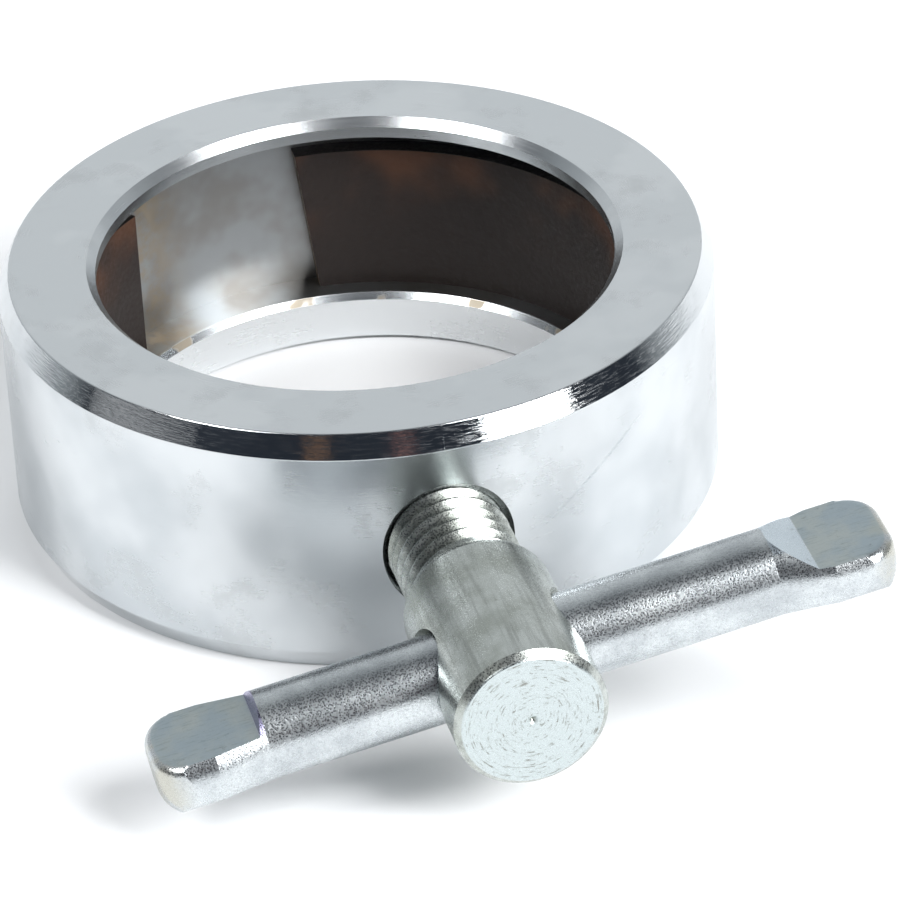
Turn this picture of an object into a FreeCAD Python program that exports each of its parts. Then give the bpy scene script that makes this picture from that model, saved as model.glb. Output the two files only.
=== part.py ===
"""Clamp collar: a steel ring with a lined bore, locked on a sleeve by a T-handled screw.

Frame: the origin is where the bore's axis crosses the screw's axis, at mid height of the ring.
+Z runs along the bore, the screw leaves the ring along -Y, and the handle's long side is on +X.
Lengths are in millimetres, angles in degrees.
"""
import FreeCAD
import Part
import math
import os

Vector = FreeCAD.Vector

# The sleeve that the collar slides over, and the ring around it.
SLEEVE_RADIUS = 25.0
BORE_CLEARANCE = 0.4
BORE_CHAMFER = 0.85
RING_RADIUS = 35.0
RING_HEIGHT = 26.0
BEVEL_RADIAL = 1.15
BEVEL_AXIAL = 2.25
EDGE_ROUND = 0.2

# The groove inside the ring that holds the lining between two lips.
GROOVE_DEPTH = 4.5
UPPER_LIP_HEIGHT = 2.0
LOWER_LIP_HEIGHT = 5.4
LEDGE_CHAMFER = 0.6
LOWER_CHAMFER = 0.5

# The lining strip. Angles are about +Z from +Y, towards -X; its first end is cut askew.
LINING_THICKNESS = 2.0
LINING_HEIGHT = 15.7
LINING_END_TOP = -0.6
LINING_END_BOTTOM = -4.1
LINING_FAR_END = 39.5
LINING_HOLE_RADIUS = 6.5

# The clamp screw. Stations are distances from the bore's axis.
THREAD_RADIUS = 5.9
THREAD_PITCH = 1.75
THREAD_DEPTH = 0.95
THREAD_MOUTH = 1.61
THREAD_FIT = 0.05
THREAD_LEAD_IN = 0.9
COUNTERSINK_RADIUS = 7.0
SCREW_TIP_STATION = 30.9
SHOULDER_STATION = 44.4
SHOULDER_ROUND = 1.2
HEAD_RADIUS = 7.2
HEAD_END_STATION = 64.4
HEAD_BEVEL = 0.7
CENTRE_MARK_RADIUS = 0.45
CENTRE_MARK_DEPTH = 0.35

# The swivelling pad on the screw's tip, and the collared pin that holds it.
PAD_FACE_STATION = 28.0
PAD_RADIUS = 4.7
PAD_EDGE_ROUND = 0.6
PAD_CLEARANCE = 0.1
PIN_RADIUS = 2.5
PIN_COLLAR_RADIUS = 3.2
PIN_COLLAR_LENGTH = 1.1
PIN_END_STATION = 28.7

# The handle bar, and the hole across the head that it slides in.
BAR_STATION = 54.0
BAR_RADIUS = 4.15
BAR_TILT = 8.83
BAR_HOLE_CLEARANCE = 0.35
BAR_HOLE_BREAK = 0.5

# Each end of the bar is struck flat on top, which spreads it sideways.
# Shaft and reach are measured from the head's centre line, the flat's height from the bar's axis.
SHORT_END = {"shaft": 22.9, "reach": 33.5, "ramp": 0.6, "flat_height": 2.35, "half_width": 5.15}
LONG_END = {"shaft": 25.8, "reach": 37.1, "ramp": 3.6, "flat_height": 1.9, "half_width": 5.5}
SPREAD_LENGTH = 5.0
TIP_ROUND = 3.5
RIM_ROUND = 1.1

HALF_HEIGHT = RING_HEIGHT / 2
BORE_RADIUS = SLEEVE_RADIUS + BORE_CLEARANCE
GROOVE_RADIUS = BORE_RADIUS + GROOVE_DEPTH
GROOVE_TOP = HALF_HEIGHT - UPPER_LIP_HEIGHT
GROOVE_BOTTOM = LOWER_LIP_HEIGHT - HALF_HEIGHT
LINING_RADIUS = GROOVE_RADIUS - LINING_THICKNESS
LINING_TOP = GROOVE_BOTTOM + LINING_HEIGHT

ORIGIN = Vector(0, 0, 0)
X_AXIS = Vector(1, 0, 0)
Z_AXIS = Vector(0, 0, 1)

# Cutters run past what they cut by the overshoot. Lengths nearer than the match are taken as equal.
OVERSHOOT = 2.0
MATCH = 0.01


def turned(profile):
    """Revolves a closed outline of (radius, height) points about the Z axis."""
    points = [Vector(radius, 0, height) for radius, height in profile]
    outline = Part.makePolygon(points + points[:1])
    return Part.Face(outline).revolve(ORIGIN, Z_AXIS, 360)


def stood_out(shape):
    """Turns a shape that was built along +Z so that it leaves the ring along -Y."""
    shape.rotate(ORIGIN, X_AXIS, 90)
    return shape


def circles_at(shape, height, radius):
    """Finds the circular edges of a turned shape at one height and radius."""
    found = []
    for edge in shape.Edges:
        box = edge.BoundBox
        flat = abs(box.ZMin - height) < MATCH and abs(box.ZMax - height) < MATCH
        if flat and abs(box.XMax - radius) < MATCH:
            found.append(edge)
    return found


def on_circle(radius, angle, height):
    """Gives the point at an angle about +Z, measured from +Y towards -X."""
    turn = math.radians(angle)
    return Vector(-radius * math.sin(turn), radius * math.cos(turn), height)


def ring_blank():
    """The turned ring before the screw hole, with the outer edges of its bevels softened."""
    ring = turned([
        (BORE_RADIUS + LOWER_CHAMFER, -HALF_HEIGHT),
        (RING_RADIUS - BEVEL_RADIAL, -HALF_HEIGHT),
        (RING_RADIUS, BEVEL_AXIAL - HALF_HEIGHT),
        (RING_RADIUS, HALF_HEIGHT - BEVEL_AXIAL),
        (RING_RADIUS - BEVEL_RADIAL, HALF_HEIGHT),
        (BORE_RADIUS + BORE_CHAMFER, HALF_HEIGHT),
        (BORE_RADIUS, HALF_HEIGHT - BORE_CHAMFER),
        (BORE_RADIUS, GROOVE_TOP),
        (GROOVE_RADIUS, GROOVE_TOP),
        (GROOVE_RADIUS, GROOVE_BOTTOM),
        (BORE_RADIUS + LEDGE_CHAMFER, GROOVE_BOTTOM),
        (BORE_RADIUS, GROOVE_BOTTOM - LEDGE_CHAMFER),
        (BORE_RADIUS, LOWER_CHAMFER - HALF_HEIGHT),
    ])
    edges = []
    for side in (-1, 1):
        edges += circles_at(ring, side * HALF_HEIGHT, RING_RADIUS - BEVEL_RADIAL)
        edges += circles_at(ring, side * (HALF_HEIGHT - BEVEL_AXIAL), RING_RADIUS)
    return ring.makeFillet(EDGE_ROUND, edges)


def ring_body():
    hole_radius = THREAD_RADIUS + THREAD_FIT
    countersink_depth = COUNTERSINK_RADIUS - hole_radius
    screw_hole = turned([
        (0, BORE_RADIUS),
        (hole_radius, BORE_RADIUS),
        (hole_radius, RING_RADIUS - countersink_depth),
        (COUNTERSINK_RADIUS, RING_RADIUS),
        (COUNTERSINK_RADIUS, RING_RADIUS + OVERSHOOT),
        (0, RING_RADIUS + OVERSHOOT),
    ])
    return ring_blank().cut(stood_out(screw_hole))


def lining_gap():
    """The wedge of the bore that the lining strip leaves bare."""
    reach = RING_RADIUS + OVERSHOOT
    sections = []
    for height, end in ((GROOVE_BOTTOM, LINING_END_BOTTOM), (LINING_TOP, LINING_END_TOP)):
        corners = [
            Vector(0, 0, height),
            on_circle(reach, end, height),
            on_circle(reach, LINING_FAR_END, height),
        ]
        sections.append(Part.makePolygon(corners + corners[:1]))
    return Part.makeLoft(sections, True, True)


def friction_lining():
    band = turned([
        (LINING_RADIUS, GROOVE_BOTTOM),
        (GROOVE_RADIUS, GROOVE_BOTTOM),
        (GROOVE_RADIUS, LINING_TOP),
        (LINING_RADIUS, LINING_TOP),
    ])
    screw_window = Part.makeCylinder(LINING_HOLE_RADIUS, RING_RADIUS)
    return band.cut([lining_gap(), stood_out(screw_window)])


def thrust_pad():
    """A round pad whose rolled-over mouth holds the collar of the screw's pin."""
    back_station = SCREW_TIP_STATION - PAD_CLEARANCE
    collar_back = PIN_END_STATION + PIN_COLLAR_LENGTH
    mouth_radius = PIN_RADIUS + PAD_CLEARANCE
    socket_radius = PIN_COLLAR_RADIUS + PAD_CLEARANCE
    pad = turned([
        (0, PAD_FACE_STATION),
        (PAD_RADIUS, PAD_FACE_STATION),
        (PAD_RADIUS, back_station),
        (mouth_radius, back_station),
        (mouth_radius, collar_back + PAD_CLEARANCE),
        (socket_radius, collar_back + PAD_CLEARANCE),
        (socket_radius, PIN_END_STATION - PAD_CLEARANCE),
        (0, PIN_END_STATION - PAD_CLEARANCE),
    ])
    rims = circles_at(pad, PAD_FACE_STATION, PAD_RADIUS)
    return stood_out(pad.makeFillet(PAD_EDGE_ROUND, rims))


def thread_groove():
    """The right-hand helical V groove, from beyond the tip to the foot of the shoulder."""
    start = SCREW_TIP_STATION - THREAD_PITCH
    length = SHOULDER_STATION - THREAD_PITCH / 2 - start
    root_radius = THREAD_RADIUS - THREAD_DEPTH
    helix = Part.makeHelix(THREAD_PITCH, length, root_radius)
    helix.translate(Vector(0, 0, start))
    mouth_radius = THREAD_RADIUS + THREAD_FIT
    root = Vector(root_radius, 0, start)
    upper = Vector(mouth_radius, 0, start + THREAD_MOUTH / 2)
    lower = Vector(mouth_radius, 0, start - THREAD_MOUTH / 2)
    section = Part.makePolygon([root, upper, lower, root])
    return Part.Wire(helix).makePipeShell([section], True, True)


def bar_hole():
    """The hole across the head, with its two rims broken."""
    radius = BAR_RADIUS + BAR_HOLE_CLEARANCE
    hole = Part.makeCylinder(radius, 4 * HEAD_RADIUS, Vector(-2 * HEAD_RADIUS, 0, 0), X_AXIS)
    rim_foot = math.sqrt(HEAD_RADIUS ** 2 - radius ** 2)
    rim_reach = HEAD_RADIUS + OVERSHOOT
    flare = radius + BAR_HOLE_BREAK * (rim_reach - rim_foot) / (HEAD_RADIUS - rim_foot)
    for side in (-1, 1):
        start = Vector(side * rim_foot, 0, 0)
        rim = Part.makeCone(radius, flare, rim_reach - rim_foot, start, X_AXIS * side)
        hole = hole.fuse(rim)
    return at_bar(hole)


def at_bar(shape):
    """Moves a shape built along +X about the origin to the bar's station and tilt."""
    shape.rotate(ORIGIN, Z_AXIS, BAR_TILT)
    shape.translate(Vector(0, 0, BAR_STATION))
    return shape


def threaded_shank():
    """The screw's thread, with its tip bevelled after the groove is cut."""
    length = SHOULDER_STATION - SCREW_TIP_STATION
    shank = Part.makeCylinder(THREAD_RADIUS, length, Vector(0, 0, SCREW_TIP_STATION))
    waste = turned([
        (THREAD_RADIUS - THREAD_LEAD_IN, SCREW_TIP_STATION),
        (THREAD_RADIUS + OVERSHOOT, SCREW_TIP_STATION + THREAD_LEAD_IN + OVERSHOOT),
        (THREAD_RADIUS + OVERSHOOT, SCREW_TIP_STATION),
    ])
    return shank.cut(thread_groove()).cut(waste)


def collared_pin():
    """The pin at the screw's tip that the pad turns on."""
    collar_back = PIN_END_STATION + PIN_COLLAR_LENGTH
    return turned([
        (0, PIN_END_STATION),
        (PIN_COLLAR_RADIUS, PIN_END_STATION),
        (PIN_COLLAR_RADIUS, collar_back),
        (PIN_RADIUS, collar_back),
        (PIN_RADIUS, SCREW_TIP_STATION),
        (0, SCREW_TIP_STATION),
    ])


def screw_head():
    blank = turned([
        (0, SHOULDER_STATION),
        (HEAD_RADIUS, SHOULDER_STATION),
        (HEAD_RADIUS, HEAD_END_STATION - HEAD_BEVEL),
        (HEAD_RADIUS - HEAD_BEVEL, HEAD_END_STATION),
        (CENTRE_MARK_RADIUS, HEAD_END_STATION),
        (0, HEAD_END_STATION - CENTRE_MARK_DEPTH),
    ])
    shoulder = circles_at(blank, SHOULDER_STATION, HEAD_RADIUS)
    return blank.makeFillet(SHOULDER_ROUND, shoulder).cut(bar_hole())


def clamp_screw():
    screw = threaded_shank().fuse(collared_pin()).fuse(screw_head())
    return stood_out(screw)


def oval_wire(station, half_width):
    """An oval across the bar: as tall as the bar, and half_width wide to each side."""
    if half_width == BAR_RADIUS:
        edge = Part.makeCircle(BAR_RADIUS, ORIGIN, X_AXIS)
    else:
        wide = Vector(0, 0, half_width)
        edge = Part.Ellipse(wide, Vector(0, BAR_RADIUS, 0), ORIGIN).toShape()
    edge.translate(Vector(station, 0, 0))
    return Part.Wire(edge)


def waste_above(end):
    """What the die takes off the top of an end: down a ramp, then along the flat."""
    foot = end["shaft"] + end["ramp"]
    beyond = end["reach"] + OVERSHOOT
    above = BAR_RADIUS + OVERSHOOT
    outline = Part.makePolygon([
        Vector(end["shaft"], BAR_RADIUS, 0),
        Vector(foot, end["flat_height"], 0),
        Vector(beyond, end["flat_height"], 0),
        Vector(beyond, above, 0),
        Vector(end["shaft"], above, 0),
        Vector(end["shaft"], BAR_RADIUS, 0),
    ])
    face = Part.Face(outline)
    face.translate(Vector(0, 0, -2 * BAR_RADIUS))
    return face.extrude(Vector(0, 0, 4 * BAR_RADIUS))


def rim_of_flat(blade, end):
    """The edges where an end's flat meets its rounded tip."""
    found = []
    height = end["flat_height"]
    for edge in blade.Edges:
        box = edge.BoundBox
        in_flat = abs(box.YMin - height) < MATCH and abs(box.YMax - height) < MATCH
        if in_flat and box.XMin > end["reach"] - TIP_ROUND:
            found.append(edge)
    return found


def struck_end(end):
    """One end of the bar, built towards +X with its flat facing +Y."""
    spread_end = end["shaft"] + SPREAD_LENGTH
    spread = Part.makeLoft([
        oval_wire(end["shaft"], BAR_RADIUS),
        oval_wire(spread_end, end["half_width"]),
    ], True, True)
    blade_face = Part.Face(oval_wire(spread_end, end["half_width"]))
    blade = blade_face.extrude(Vector(end["reach"] - spread_end, 0, 0))
    tip = Part.makeCylinder(end["half_width"], end["reach"], ORIGIN, X_AXIS)
    tip_edge = [edge for edge in tip.Edges if edge.BoundBox.XMin > end["reach"] - MATCH]
    tip = tip.makeFillet(TIP_ROUND, tip_edge)
    struck = spread.fuse(blade).common(tip).cut(waste_above(end))
    return struck.makeFillet(RIM_ROUND, rim_of_flat(struck, end))


def tommy_bar():
    shaft_length = SHORT_END["shaft"] + LONG_END["shaft"]
    start = Vector(-SHORT_END["shaft"], 0, 0)
    bar = Part.makeCylinder(BAR_RADIUS, shaft_length, start, X_AXIS)
    short_end = struck_end(SHORT_END).mirror(ORIGIN, X_AXIS)
    bar = bar.fuse([struck_end(LONG_END), short_end])
    return stood_out(at_bar(bar))


SUB_PARTS = (ring_body, friction_lining, thrust_pad, clamp_screw, tommy_bar)

os.makedirs("parts", exist_ok=True)
for build in SUB_PARTS:
    shape = build()
    solids = shape.Solids
    print(build.__name__, len(solids), shape.isValid(), round(shape.Volume, 1))
    shape.exportStep("parts/" + build.__name__ + ".step")
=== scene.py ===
"""The looks of a clamp collar: a plated steel ring with a lined bore, and its T-handled screw.

Lengths are in metres in the part's own frame: +Z along the bore, the screw leaves along -Y.
Inside the materials, positions are in millimetres, because the detail is that small.
"""

import math

import bpy
from mathutils import Euler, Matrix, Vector


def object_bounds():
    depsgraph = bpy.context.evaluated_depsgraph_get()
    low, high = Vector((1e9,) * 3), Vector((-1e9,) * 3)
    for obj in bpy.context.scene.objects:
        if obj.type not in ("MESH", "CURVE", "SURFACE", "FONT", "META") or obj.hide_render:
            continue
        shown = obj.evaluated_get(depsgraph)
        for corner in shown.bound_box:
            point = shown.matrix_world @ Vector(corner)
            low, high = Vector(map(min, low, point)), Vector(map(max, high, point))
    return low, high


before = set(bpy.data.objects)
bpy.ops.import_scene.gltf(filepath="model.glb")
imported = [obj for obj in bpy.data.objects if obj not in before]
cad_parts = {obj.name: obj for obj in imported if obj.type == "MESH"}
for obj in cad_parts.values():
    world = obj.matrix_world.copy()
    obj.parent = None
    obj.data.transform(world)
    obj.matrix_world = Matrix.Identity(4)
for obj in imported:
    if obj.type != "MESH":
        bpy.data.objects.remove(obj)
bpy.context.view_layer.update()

MM = 0.001

# The ring's edges in millimetres, as in the CAD, where one finish stops and the next one starts.
BORE_RADIUS = 25.4
BORE_CHAMFER = 0.85
RING_RADIUS = 35.0
HALF_HEIGHT = 13.0
BEVEL_RADIUS = RING_RADIUS - 1.15
BEVEL_HEIGHT = HALF_HEIGHT - 2.25
CHAMFER_RADIUS = BORE_RADIUS + BORE_CHAMFER
CHAMFER_HEIGHT = HALF_HEIGHT - BORE_CHAMFER
GROOVE_RADIUS = BORE_RADIUS + 4.5
GROOVE_TOP = HALF_HEIGHT - 2.0
GROOVE_BOTTOM = 5.4 - HALF_HEIGHT
LEDGE_CHAMFER = 0.6
LEDGE_RADIUS = BORE_RADIUS + LEDGE_CHAMFER
LEDGE_BOTTOM = GROOVE_BOTTOM - LEDGE_CHAMFER

# The lining strip. Its first end is cut askew: two angles in degrees from +Y towards -X.
LINING_RADIUS = GROOVE_RADIUS - 2.0
LINING_TOP = GROOVE_BOTTOM + 15.7
LINING_END_TOP = -0.6
LINING_END_BOTTOM = -4.1

# The clamp screw. Stations are distances from the bore's axis.
THREAD_RADIUS = 5.9
CENTRE_MARK_RADIUS = 0.45
SHOULDER_STATION = 44.4
HEAD_END_STATION = 64.4

# The handle bar. Its ends have distances along the bar from the head's centre line, and the
# height of the struck flat above the bar's axis.
BAR_TILT = 8.83
BAR_RADIUS = 4.15
LONG_END = {"shaft": 25.8, "flat": 29.4, "height": 1.9, "reach": 37.1}
SHORT_END = {"shaft": 22.9, "flat": 23.5, "height": 2.35, "reach": 33.5}

# The view. The heading (from +Y towards +X), the drop (below level) and the roll are in degrees.
CAMERA_TARGET = Vector((4.2, -18.6, 0.0)) * MM
CAMERA_HEADING = 12.87
CAMERA_DROP = 32.55
CAMERA_ROLL = -3.15
CAMERA_DISTANCE = 0.5406
CAMERA_LENS = 224.7

FLOOR_SIZE = 6.0

# Blender's Mix node has separate sockets for each kind: here are its two inputs and its output.
MIX_SOCKETS = {"FLOAT": (2, 3, 0), "RGBA": (6, 7, 2)}


class Recipe:
    """A material's node tree, with short calls for the nodes that these materials use."""

    def __init__(self, name):
        self.material = bpy.data.materials.new(name)
        self.material.use_nodes = True
        self.nodes = self.material.node_tree.nodes
        self.links = self.material.node_tree.links
        self.shader = self.nodes["Principled BSDF"]
        place = self.nodes.new("ShaderNodeTexCoord").outputs["Object"]
        self.place = self.vector("SCALE", place, scale=1 / MM)
        self.x, self.y, self.z = self.split(self.place)

    def feed(self, socket, value):
        """Links a socket to another node's output, or sets it to a number, a place or a colour."""
        if isinstance(value, bpy.types.NodeSocket):
            self.links.new(value, socket)
        elif socket.type == "RGBA":
            socket.default_value = (*value, 1.0)
        else:
            socket.default_value = value

    def set(self, **inputs):
        """Sets the shader's inputs; an underscore stands for the space in an input's name."""
        for name, value in inputs.items():
            self.feed(self.shader.inputs[name.replace("_", " ")], value)

    def split(self, vector):
        node = self.nodes.new("ShaderNodeSeparateXYZ")
        self.feed(node.inputs[0], vector)
        return node.outputs

    def join(self, x, y, z):
        node = self.nodes.new("ShaderNodeCombineXYZ")
        for socket, value in zip(node.inputs, (x, y, z)):
            self.feed(socket, value)
        return node.outputs[0]

    def vector(self, operation, a, b=None, scale=None):
        node = self.nodes.new("ShaderNodeVectorMath")
        node.operation = operation
        self.feed(node.inputs[0], a)
        if b is not None:
            self.feed(node.inputs[1], b)
        if scale is not None:
            self.feed(node.inputs["Scale"], scale)
        return node.outputs["Value" if operation in ("DOT_PRODUCT", "LENGTH") else "Vector"]

    def math(self, operation, a, b=0.0):
        node = self.nodes.new("ShaderNodeMath")
        node.operation = operation
        self.feed(node.inputs[0], a)
        self.feed(node.inputs[1], b)
        return node.outputs[0]

    def times(self, *factors):
        product = factors[0]
        for factor in factors[1:]:
            product = self.math("MULTIPLY", product, factor)
        return product

    def most(self, *values):
        highest = values[0]
        for value in values[1:]:
            highest = self.math("MAXIMUM", highest, value)
        return highest

    def rise(self, value, low, high, start=0.0, end=1.0):
        """Goes smoothly from start to end as the value goes from low to high."""
        node = self.nodes.new("ShaderNodeMapRange")
        node.interpolation_type = "SMOOTHSTEP"
        for socket, item in zip(node.inputs[:5], (value, low, high, start, end)):
            self.feed(socket, item)
        return node.outputs[0]

    def fall(self, value, low, high):
        """Goes smoothly from 1 to 0 as the value goes from low to high."""
        return self.rise(value, low, high, 1.0, 0.0)

    def band(self, value, low, high, soft=0.04):
        """Is 1 where the value lies between low and high, and 0 elsewhere."""
        return self.times(
            self.rise(value, low - soft, low + soft), self.fall(value, high - soft, high + soft))

    def noise(self, place, scale, detail=2.0, roughness=0.5):
        """Noise whose features are about 1 / scale millimetres."""
        node = self.nodes.new("ShaderNodeTexNoise")
        self.feed(node.inputs["Vector"], place)
        self.feed(node.inputs["Scale"], scale)
        self.feed(node.inputs["Detail"], detail)
        self.feed(node.inputs["Roughness"], roughness)
        return node.outputs[0]

    def cells(self, place, scale, feature="F1"):
        """Distance to the nearest of scattered points, which lie about 1 / scale millimetres apart."""
        node = self.nodes.new("ShaderNodeTexVoronoi")
        node.feature = feature
        self.feed(node.inputs["Vector"], place)
        self.feed(node.inputs["Scale"], scale)
        return node.outputs["Distance"]

    def mix(self, kind, amount, a, b):
        """Goes from a to b as the amount goes from 0 to 1; the kind is a key of MIX_SOCKETS."""
        first, second, result = MIX_SOCKETS[kind]
        node = self.nodes.new("ShaderNodeMix")
        node.data_type = kind
        for index, value in ((0, amount), (first, a), (second, b)):
            self.feed(node.inputs[index], value)
        return node.outputs[result]

    def blend(self, amount, a, b):
        """Mixes two colours."""
        return self.mix("RGBA", amount, a, b)

    def blend_number(self, amount, a, b):
        """Mixes two numbers."""
        return self.mix("FLOAT", amount, a, b)

    def bump(self, height, depth, under=None):
        """Raises the surface by up to depth millimetres where the height is 1."""
        node = self.nodes.new("ShaderNodeBump")
        self.feed(node.inputs["Strength"], 1.0)
        self.feed(node.inputs["Distance"], depth * MM)
        self.feed(node.inputs["Height"], height)
        if under is not None:
            self.feed(node.inputs["Normal"], under)
        return node.outputs[0]

    def around_bore(self):
        """Radius from the bore's axis, and the angle from +Y towards -X in degrees."""
        radius = self.vector("LENGTH", self.join(self.x, self.y, 0.0))
        turn = self.math("ARCTAN2", self.times(self.x, -1.0), self.y)
        return radius, self.times(turn, math.degrees(1))


def plated_ring():
    """Bright plating: satin turned faces, mirror-bright outer bevels, traces of old glue, and a
    painted reflection on the lower bore wall.
    """
    r = Recipe("bright_plating")
    radius, angle = r.around_bore()
    height = r.math("ABSOLUTE", r.z)
    outer_bevel = r.times(
        r.rise(radius, BEVEL_RADIUS - 0.01, BEVEL_RADIUS + 0.05),
        r.rise(height, BEVEL_HEIGHT - 0.01, BEVEL_HEIGHT + 0.05))
    bore_bevel = r.times(
        r.fall(radius, CHAMFER_RADIUS - 0.05, CHAMFER_RADIUS - 0.01),
        r.rise(r.z, CHAMFER_HEIGHT, CHAMFER_HEIGHT + 0.04))
    ledge = r.times(
        r.band(r.z, LEDGE_BOTTOM, GROOVE_BOTTOM - 0.02),
        r.fall(radius, LEDGE_RADIUS, LEDGE_RADIUS + 0.04))
    fine_turned = r.most(bore_bevel, ledge)
    groove = r.times(
        r.rise(radius, BORE_RADIUS + 0.4, BORE_RADIUS + 0.8),
        r.band(r.z, GROOVE_BOTTOM - 0.1, GROOVE_TOP - 0.1),
        r.fall(radius, GROOVE_RADIUS + 0.1, GROOVE_RADIUS + 1.1))

    lathe = r.join(r.times(radius, 9.0), r.times(angle, 0.05), r.times(r.z, 9.0))
    marks = r.noise(lathe, 1.0, 3.0)
    broken_lathe = r.join(r.times(radius, 7.0), r.times(angle, 0.4), r.times(r.z, 7.0))
    bevel_marks = r.noise(broken_lathe, 1.0, 3.0, 0.6)
    drift = r.rise(r.noise(r.place, 0.06, 3.0, 0.55), 0.36, 0.64)
    end_faces = r.rise(height, HALF_HEIGHT - 0.1, HALF_HEIGHT - 0.02, 0.0, 0.7)
    clouds = r.most(drift, end_faces)
    peel = r.noise(r.place, 0.55, 2.0)
    smudges = r.rise(r.noise(r.place, 0.16, 4.0, 0.6), 0.52, 0.75)

    # Old glue darkens the bare wall of the groove towards the lining's far end, and lies in
    # spots on the ledge.
    glue_edge = r.noise(r.place, 0.3, 4.0, 0.65)
    glue = r.times(
        groove, r.rise(angle, 20, 38), r.fall(angle, 41, 46), r.rise(glue_edge, 0.35, 0.62))
    squeezed = r.times(ledge, r.rise(r.noise(r.place, 0.32, 2.0), 0.52, 0.6))
    stain = r.most(r.times(glue, 0.6), r.times(squeezed, 0.7))

    # One faint scratch slants across the front of the outside wall, where z is 0.62 x - 6.2.
    scratch_line = r.math("ABSOLUTE", r.math(
        "ADD", r.times(r.x, 0.62), r.math("SUBTRACT", r.times(r.z, -1.0), 6.2)))
    scratch = r.times(
        r.fall(scratch_line, 0.02, 0.3), r.rise(r.y, -20, -22), r.band(r.z, 0.5, 6.0, 1.5),
        r.rise(bevel_marks, 0.4, 0.55), 0.45)

    clean = r.blend(clouds, (0.51, 0.54, 0.56), (0.655, 0.68, 0.695))
    worn = r.blend(r.times(smudges, 0.4), clean, (0.46, 0.475, 0.48))
    handled = r.blend(scratch, worn, (0.30, 0.33, 0.36))
    smear = r.times(groove, r.rise(r.noise(r.place, 0.11, 3.0, 0.6), 0.4, 0.62))
    bare = r.blend(smear, (0.38, 0.395, 0.405), (0.31, 0.305, 0.295))
    # The lower bore wall below the ledge is painted near white: a painted reflection of the bright
    # floor inside the ring.
    foot_reflection = r.times(
        r.fall(radius, BORE_RADIUS + 1.1, BORE_RADIUS + 1.2),
        r.rise(r.z, LEDGE_BOTTOM + 0.05, LEDGE_BOTTOM - 0.1))
    with_painted_reflection = r.blend(foot_reflection, handled, (0.82, 0.84, 0.85))
    dull = r.blend(groove, with_painted_reflection, bare)
    gold = r.blend(squeezed, (0.38, 0.27, 0.13), (0.2, 0.14, 0.055))
    r.set(Base_Color=r.blend(stain, dull, gold))

    satin = r.blend_number(marks, 0.2, 0.3)
    dulled = r.math("ADD", satin, r.math("ADD", r.times(smudges, 0.06), r.times(scratch, 0.25)))
    bevelled = r.blend_number(outer_bevel, dulled, r.rise(bevel_marks, 0.4, 0.65, 0.03, 0.18))
    chamfered = r.blend_number(fine_turned, bevelled, satin)
    grooved = r.blend_number(groove, chamfered, 0.36)
    r.set(Roughness=r.blend_number(stain, grooved, 0.5))
    r.set(Metallic=r.rise(stain, 0.2, 0.8, 1.0, 0.55))
    relief = r.bump(r.times(bevel_marks, outer_bevel), 0.012, r.bump(marks, 0.003))
    r.set(Normal=r.bump(peel, 0.012, relief))
    return r.material


def leather_lining():
    """Dark brown leather, slightly shiny, with a pale cut end, and painted shade on its top edge and
    back face.
    """
    r = Recipe("lining_leather")
    radius, angle = r.around_bore()
    grain = r.cells(r.place, 1.6, "SMOOTH_F1")
    fibres = r.noise(r.place, 2.2, 5.0, 0.65)
    patches = r.noise(r.place, 0.07, 3.0)
    red = r.times(r.rise(r.z, -3, 8), r.rise(patches, 0.4, 0.6))
    dark = r.blend(fibres, (0.012, 0.0085, 0.008), (0.024, 0.017, 0.0145))
    warm = r.blend(r.times(red, 0.8), dark, (0.085, 0.036, 0.018))
    # The top edge face and the back face are painted near black: painted shade under the ring's lip
    # and between the lining and the groove wall.
    shaded_top_edge = r.rise(r.z, LINING_TOP - 0.08, LINING_TOP - 0.02)
    shaded_back_face = r.rise(radius, GROOVE_RADIUS - 0.1, GROOVE_RADIUS - 0.04)
    pale_end = r.times(
        r.band(angle, LINING_END_BOTTOM - 0.5, LINING_END_TOP + 1.0, 0.1),
        r.rise(radius, LINING_RADIUS + 0.05, LINING_RADIUS + 0.15),
        r.rise(r.z, LINING_TOP - 0.1, LINING_TOP - 0.2))
    with_painted_shade = r.blend(r.most(shaded_top_edge, shaded_back_face), warm, (0.006, 0.005, 0.005))
    r.set(Base_Color=r.blend(pale_end, with_painted_shade, (0.16, 0.125, 0.095)))
    r.set(Roughness=r.rise(fibres, 0.3, 0.7, 0.42, 0.6))
    r.set(Specular_IOR_Level=0.3)
    r.set(Normal=r.bump(grain, 0.04, r.bump(fibres, 0.04)))
    return r.material


def zinc_grain(r, depth):
    """The fine blistered grain of the zinc: returns the relief and a speckle from 0 to about 1."""
    blisters = r.noise(r.place, 3.8, 4.0, 0.65)
    crystals = r.cells(r.place, 5.5)
    relief = r.bump(crystals, 0.4 * depth, r.bump(blisters, depth))
    return relief, crystals


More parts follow.
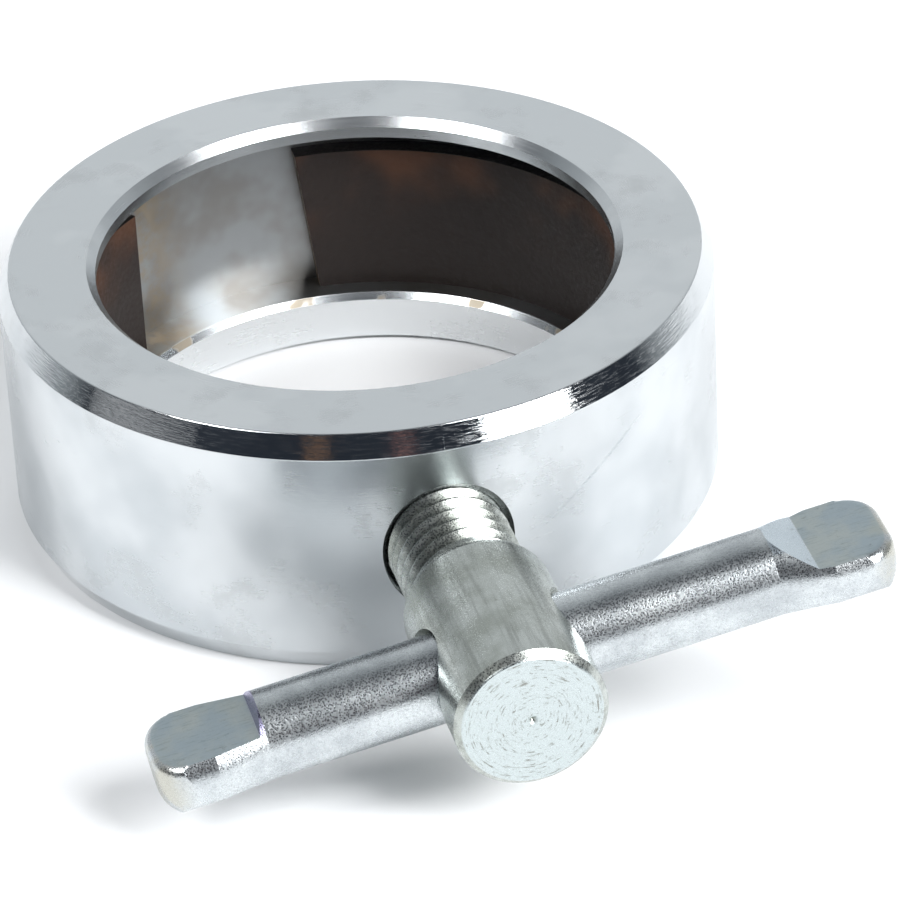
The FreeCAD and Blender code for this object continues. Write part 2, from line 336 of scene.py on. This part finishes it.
def zinc_screw():
    """Zinc plated steel, streaked along its barrel, with painted shade in the thread's roots and a
    turned and pitted end face.
    """
    r = Recipe("zinc_screw")
    relief, crystals = zinc_grain(r, 0.009)
    from_axis = r.vector("LENGTH", r.join(r.x, 0.0, r.z))
    around = r.math("ARCTAN2", r.x, r.z)
    station = r.times(r.y, -1.0)
    end_face = r.rise(station, HEAD_END_STATION - 0.2, HEAD_END_STATION - 0.05)
    arcs = r.noise(r.join(r.times(from_axis, 5.0), r.times(around, 2.4), 0.0), 1.0, 3.0, 0.6)
    broken = r.rise(r.noise(r.place, 0.9, 3.0), 0.42, 0.6)
    pits = r.times(end_face, r.rise(arcs, 0.54, 0.62), broken, 0.7)
    specks = r.times(end_face, r.rise(r.noise(r.place, 2.6, 4.0, 0.7), 0.6, 0.68), 0.5)
    stains = r.noise(r.place, 0.22, 4.0, 0.6)
    streaks = r.noise(r.join(r.times(r.x, 1.4), r.times(r.y, 0.09), r.times(r.z, 1.4)), 1.0, 4.0, 0.6)
    dirt = r.rise(r.noise(r.place, 1.1, 4.0, 0.7), 0.62, 0.72)
    clean = r.blend(r.rise(stains, 0.35, 0.65), (0.37, 0.395, 0.365), (0.52, 0.55, 0.53))
    barrel = r.blend(r.rise(streaks, 0.45, 0.66, 0.0, 0.55), clean, (0.25, 0.265, 0.25))
    # The thread's roots are painted dark: painted shade in the grooves between the thread's crests.
    valley_shade = r.times(
        r.fall(station, SHOULDER_STATION - 0.3, SHOULDER_STATION - 0.1),
        r.fall(from_axis, THREAD_RADIUS - 0.7, THREAD_RADIUS - 0.1))
    threaded_with_shade = r.blend(r.times(valley_shade, 0.85), barrel, (0.16, 0.175, 0.16))
    face = r.blend(end_face, threaded_with_shade, (0.54, 0.595, 0.60))
    r.set(Base_Color=r.blend(r.most(pits, specks, r.times(dirt, 0.35)), face, (0.15, 0.14, 0.11)))
    r.set(Metallic=1.0)
    dull_centre = r.times(
        end_face, r.fall(from_axis, CENTRE_MARK_RADIUS - 0.05, CENTRE_MARK_RADIUS + 0.35))
    r.set(Roughness=r.blend_number(dull_centre, r.rise(crystals, 0.1, 0.7, 0.2, 0.32), 0.6))
    r.set(Normal=r.bump(r.times(end_face, arcs), 0.02, relief))
    return r.material


def zinc_bar():
    """Zinc plated steel: a sparkling rough shaft, with duller blue-grey struck flats."""
    r = Recipe("zinc_bar")
    relief, crystals = zinc_grain(r, 0.02)
    tilt = math.radians(BAR_TILT)
    bar_along = (math.cos(tilt), 0.0, math.sin(tilt))
    bar_up = (-math.sin(tilt), 0.0, math.cos(tilt))
    along = r.vector("DOT_PRODUCT", r.place, bar_along)
    up = r.vector("DOT_PRODUCT", r.place, bar_up)
    # This normal is in the scene's space, so the masks below hold only near whole turns of the screw.
    normal = r.nodes.new("ShaderNodeNewGeometry").outputs["Normal"]
    upward = r.vector("DOT_PRODUCT", normal, bar_up)
    facing_up = r.rise(upward, 0.9, 0.97)

    long_flat = r.times(
        r.rise(along, LONG_END["flat"] - 0.2, LONG_END["flat"] + 0.1),
        r.fall(up, LONG_END["height"] + 0.07, LONG_END["height"] + 0.13), facing_up)
    short_flat = r.times(
        r.rise(along, 0.1 - SHORT_END["flat"], -0.1 - SHORT_END["flat"]),
        r.fall(up, SHORT_END["height"] + 0.07, SHORT_END["height"] + 0.13), facing_up)
    flats = r.most(long_flat, short_flat)
    slope = r.rise(along, LONG_END["shaft"], LONG_END["flat"], BAR_RADIUS, LONG_END["height"])
    ramp = r.times(
        r.band(along, LONG_END["shaft"] + 0.05, LONG_END["flat"] - 0.05, 0.1),
        r.rise(upward, 0.8, 0.84), r.fall(r.math("SUBTRACT", up, slope), 0.5, 0.7))
    step = r.times(
        r.band(along, -0.1 - SHORT_END["flat"], -SHORT_END["shaft"], 0.03),
        r.rise(up, SHORT_END["height"] - 0.05, SHORT_END["height"] + 0.15))
    tips = r.most(
        r.rise(along, LONG_END["reach"] - 3.6, LONG_END["reach"] - 0.6),
        r.rise(along, 3.5 - SHORT_END["reach"], 0.5 - SHORT_END["reach"]))

    stains = r.noise(r.place, 0.25, 4.0, 0.6)
    clouds = r.rise(stains, 0.35, 0.65)
    dirt = r.rise(r.noise(r.place, 1.3, 4.0, 0.7), 0.62, 0.72)
    clean = r.blend(clouds, (0.47, 0.50, 0.52), (0.62, 0.655, 0.67))
    mottle = r.noise(r.place, 4.5, 3.0, 0.65)
    specks = r.blend(r.rise(mottle, 0.48, 0.7, 0.0, 0.4), clean, (0.26, 0.275, 0.29))
    worn = r.blend(r.times(tips, r.rise(stains, 0.4, 0.6), 0.7), specks, (0.46, 0.44, 0.36))
    ground = r.blend(r.times(ramp, 0.8), worn, (0.60, 0.68, 0.74))
    rainbow = r.blend(clouds, (0.36, 0.435, 0.475), (0.41, 0.455, 0.44))
    brushed = r.noise(r.join(r.times(along, 0.7), r.times(r.y, 5.0), r.times(up, 5.0)), 1.0, 3.0, 0.6)
    scored = r.blend(r.rise(brushed, 0.52, 0.68, 0.0, 0.45), rainbow, (0.20, 0.25, 0.25))
    blued = r.blend(r.times(flats, 0.8), ground, scored)
    tinted = r.blend(r.times(step, 0.7), blued, (0.20, 0.17, 0.36))
    r.set(Base_Color=r.blend(r.times(dirt, 0.3), tinted, (0.12, 0.11, 0.1)))
    r.set(Metallic=1.0)
    r.set(Roughness=r.blend_number(flats, r.rise(crystals, 0.1, 0.7, 0.19, 0.32), 0.4))
    r.set(Normal=relief)
    return r.material


def turned_brass():
    """The thrust pad: brass with fine turning marks and a little tarnish."""
    r = Recipe("turned_brass")
    from_axis = r.vector("LENGTH", r.join(r.x, 0.0, r.z))
    rings = r.noise(r.join(r.times(from_axis, 8.0), 0.0, 0.0), 1.0, 2.0)
    tarnish = r.rise(r.noise(r.place, 0.5, 4.0), 0.4, 0.7)
    r.set(Base_Color=r.blend(tarnish, (0.72, 0.53, 0.25), (0.42, 0.29, 0.13)))
    r.set(Metallic=1.0)
    r.set(Roughness=r.blend_number(tarnish, 0.26, 0.42))
    r.set(Normal=r.bump(rings, 0.01))
    return r.material


def dress(node, material):
    """Gives every material slot of a CAD node the one material."""
    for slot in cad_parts[node].material_slots:
        slot.material = material


def make_floor():
    """A wide white sheet under the ring."""
    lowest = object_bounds()[0][2]
    bpy.ops.mesh.primitive_plane_add(size=FLOOR_SIZE, location=(0, 0, lowest))
    floor = bpy.context.object
    floor.name = "studio_floor"
    r = Recipe("white_sweep")
    r.set(Base_Color=(0.86, 0.87, 0.88), Roughness=0.9)
    floor.data.materials.append(r.material)


def make_camera():
    """Looks down at the ring from the front left, through a long lens."""
    heading = math.radians(CAMERA_HEADING)
    drop = math.radians(CAMERA_DROP)
    level = Vector((math.sin(heading), math.cos(heading), 0.0))
    sight = level * math.cos(drop) - Vector((0, 0, math.sin(drop)))
    camera = bpy.data.objects.new("camera", bpy.data.cameras.new("camera"))
    camera.data.lens = CAMERA_LENS
    camera.data.clip_start = 0.01
    camera.location = CAMERA_TARGET - sight * CAMERA_DISTANCE
    aim = sight.to_track_quat("-Z", "Y").to_matrix()
    roll = Euler((0, 0, math.radians(CAMERA_ROLL))).to_matrix()
    camera.rotation_euler = (aim @ roll).to_euler()
    bpy.context.scene.collection.objects.link(camera)
    bpy.context.scene.camera = camera


def add_panel(name, azimuth, elevation, distance, size, power, colour=(1, 1, 1)):
    """A soft panel that faces the ring. Azimuth 0 is behind the object, 90 is on its right."""
    light = bpy.data.lights.new(name, "AREA")
    light.shape = "RECTANGLE"
    light.size, light.size_y = size
    light.energy = power
    light.color = colour
    panel = bpy.data.objects.new(name, light)
    turn, rise = math.radians(azimuth), math.radians(elevation)
    outwards = Vector((
        math.sin(turn) * math.cos(rise), math.cos(turn) * math.cos(rise), math.sin(rise)))
    panel.location = outwards * distance
    panel.rotation_euler = (-outwards).to_track_quat("-Z", "Y").to_euler()
    bpy.context.scene.collection.objects.link(panel)


def make_studio():
    """A pale backdrop behind, and a dark room in front with two softboxes and some small cards."""
    world = bpy.data.worlds.new("studio")
    world.use_nodes = True
    nodes, links = world.node_tree.nodes, world.node_tree.links
    direction = nodes.new("ShaderNodeTexCoord").outputs["Generated"]
    backdrop = nodes.new("ShaderNodeVectorMath")
    backdrop.operation = "DOT_PRODUCT"
    backdrop.inputs[1].default_value = (0.2, 0.97, -0.08)
    links.new(direction, backdrop.inputs[0])
    shade = nodes.new("ShaderNodeValToRGB")
    links.new(backdrop.outputs["Value"], shade.inputs[0])
    dark_room, pale_backdrop = shade.color_ramp.elements
    dark_room.position = 0.0
    dark_room.color = (0.033, 0.04, 0.052, 1)
    pale_backdrop.position = 0.85
    pale_backdrop.color = (0.84, 0.87, 0.89, 1)
    grey_sides = shade.color_ramp.elements.new(0.22)
    grey_sides.color = (0.385, 0.41, 0.425, 1)
    links.new(shade.outputs[0], nodes["Background"].inputs["Color"])
    bpy.context.scene.world = world

    add_panel("softbox_right", azimuth=141, elevation=36, distance=1.6, size=(0.68, 1.24), power=45)
    add_panel("softbox_left", azimuth=251, elevation=50, distance=1.6, size=(0.6, 0.6), power=14)
    add_panel("card_left", azimuth=262, elevation=11, distance=0.9, size=(0.6, 0.12), power=0.09)
    add_panel(
        "warm_card", azimuth=207, elevation=21, distance=0.9, size=(0.1, 0.08), power=0.006,
        colour=(1, 0.5, 0.2))
    add_panel(
        "red_card", azimuth=181, elevation=21, distance=0.9, size=(0.07, 0.08), power=0.005,
        colour=(1, 0.45, 0.35))


dress("ring_body", plated_ring())
dress("friction_lining", leather_lining())
dress("thrust_pad", turned_brass())
dress("clamp_screw", zinc_screw())
dress("tommy_bar", zinc_bar())
make_floor()
make_camera()
make_studio()
bpy.context.scene.view_settings.view_transform = "Standard"
